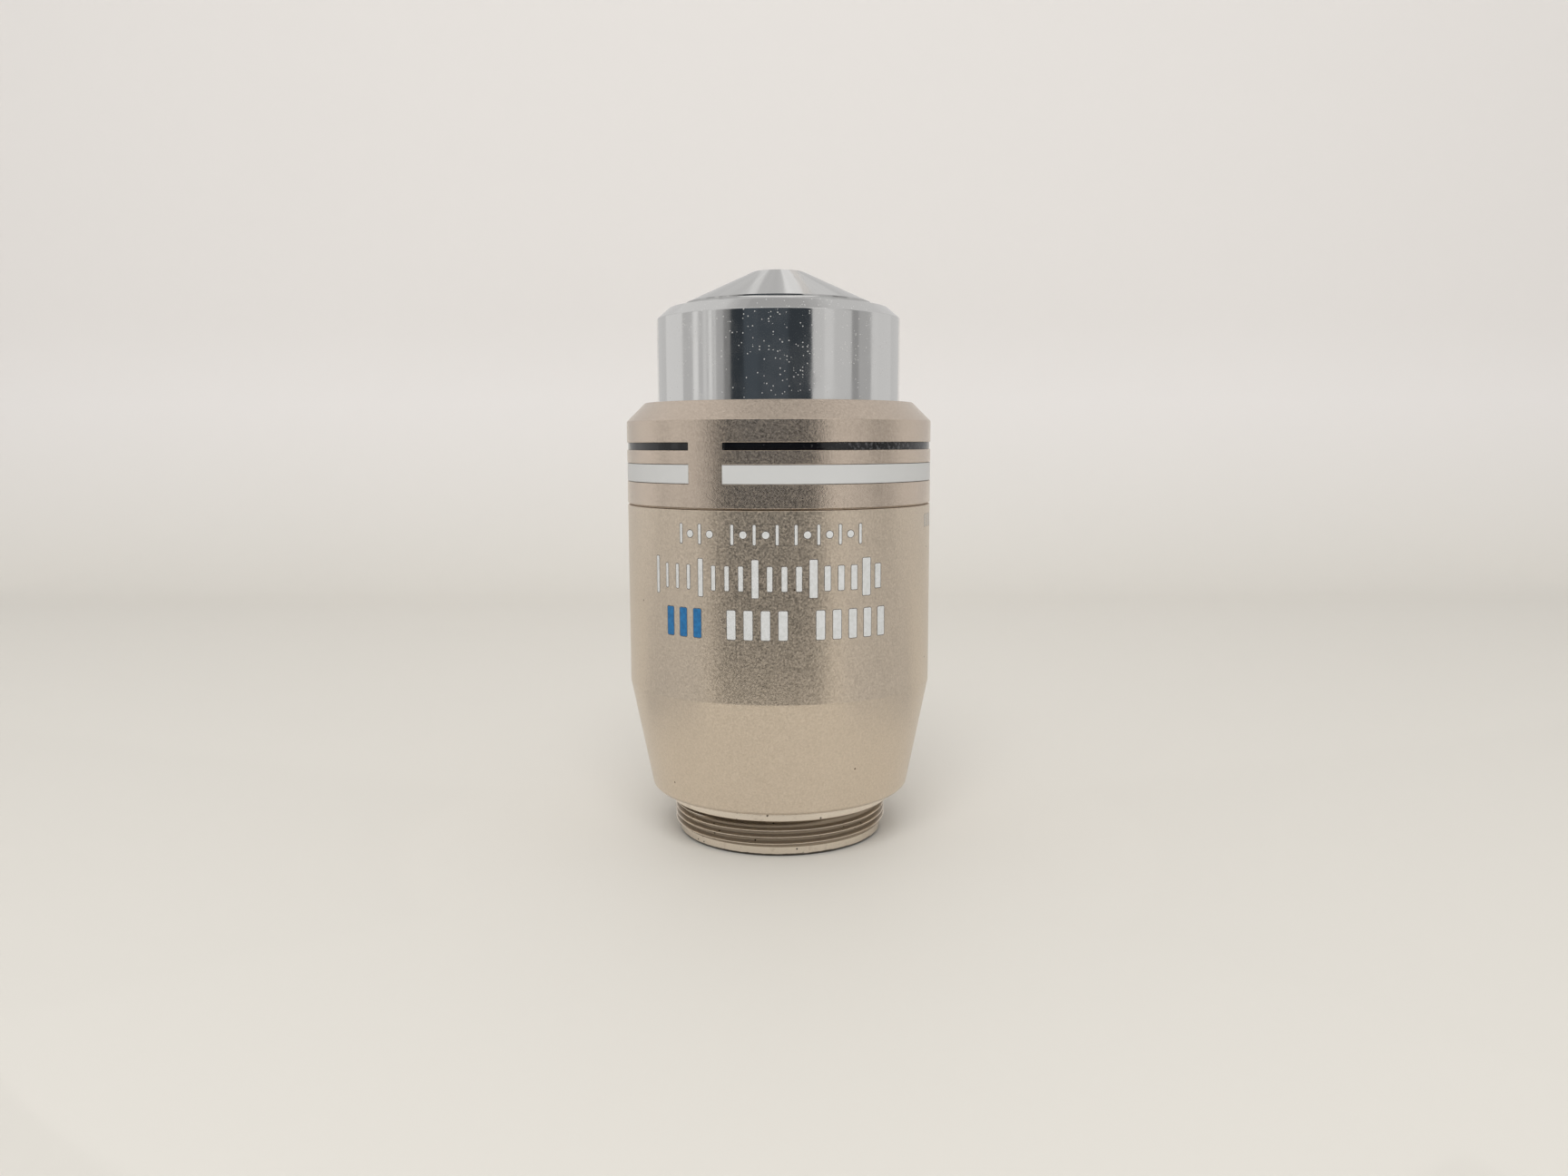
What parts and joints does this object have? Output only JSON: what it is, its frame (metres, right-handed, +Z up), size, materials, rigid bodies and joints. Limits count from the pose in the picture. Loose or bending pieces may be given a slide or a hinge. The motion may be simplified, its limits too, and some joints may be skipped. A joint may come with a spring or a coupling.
{
  "type": "microscope objective",
  "caption": "High power oil immersion microscope objective with a screw thread, a tapered barrel, colour bands and a sprung nose that slides back.",
  "frame": {"origin": "middle of the thread's end face, which the part stands on", "axes": "+Z up the optical axis to the front lens; -Y to the front, with the gap of the colour bands a little to its left (-X)"},
  "size_m": [0.0352, 0.0352, 0.0653],
  "materials": {
    "nickel_plate": "nickel plated brass, semi-bright, with worn thread crests",
    "dull_brass": "turned brass, unplated",
    "champagne_satin": "champagne satin over a fine blasted surface",
    "white_enamel": "white enamel fill, slightly chipped along its edge",
    "black_enamel": "glossy black enamel fill",
    "bright_plate": "polished bright plating with fine pits",
    "turned_plate": "plated, with fine turning marks",
    "black_oxide": "matt black, against stray light",
    "bright_steel": "bright drawn or turned steel",
    "optical_glass": "polished and coated optical glass"
  },
  "bodies": {
    "housing": {"mounting_ring": "nickel_plate", "mounting_shim": "nickel_plate", "inner_housing": "dull_brass", "outer_barrel": "champagne_satin", "front_ring": "champagne_satin", "white_band": "white_enamel", "black_band": "black_enamel", "stop_ring": "dull_brass", "guide_screw": "bright_steel", "return_spring": "bright_steel"},
    "nose": {"cell_2": "dull_brass", "cell_3": "dull_brass", "cell_4": "dull_brass", "cell_5": "dull_brass", "cell_6": "dull_brass", "cell_7": "dull_brass", "cell_8": "dull_brass", "cell_9": "dull_brass", "centring_screws": "bright_steel", "front_cell": "turned_plate", "front_lens": "optical_glass", "front_lens_bead": "optical_glass", "front_lens_ring": "black_oxide", "lens_2": "optical_glass", "lens_3": "optical_glass", "lens_4a": "optical_glass", "lens_4b": "optical_glass", "lens_5a": "optical_glass", "lens_5b": "optical_glass", "lens_5c": "optical_glass", "lens_6a": "optical_glass", "lens_6b": "optical_glass", "lens_7a": "optical_glass", "lens_7b": "optical_glass", "lens_8a": "optical_glass", "lens_8b": "optical_glass", "lens_9a": "optical_glass", "lens_9b": "optical_glass", "lens_sleeve": "black_oxide", "nose_sleeve": "bright_plate", "pupil_stop": "black_oxide", "rear_retaining_ring": "black_oxide", "spacer_a": "black_oxide", "spacer_b": "black_oxide", "spacer_c": "black_oxide"}
  },
  "joints": [
    {"name": "nose_retract", "type": "slide", "parent": "housing", "child": "nose", "axis": [0, 0, -1], "range_m": [0, 0.002], "stiffness_N_per_m": 600, "springref_m": -0.005, "deforming": ["return_spring"]}
  ]
}
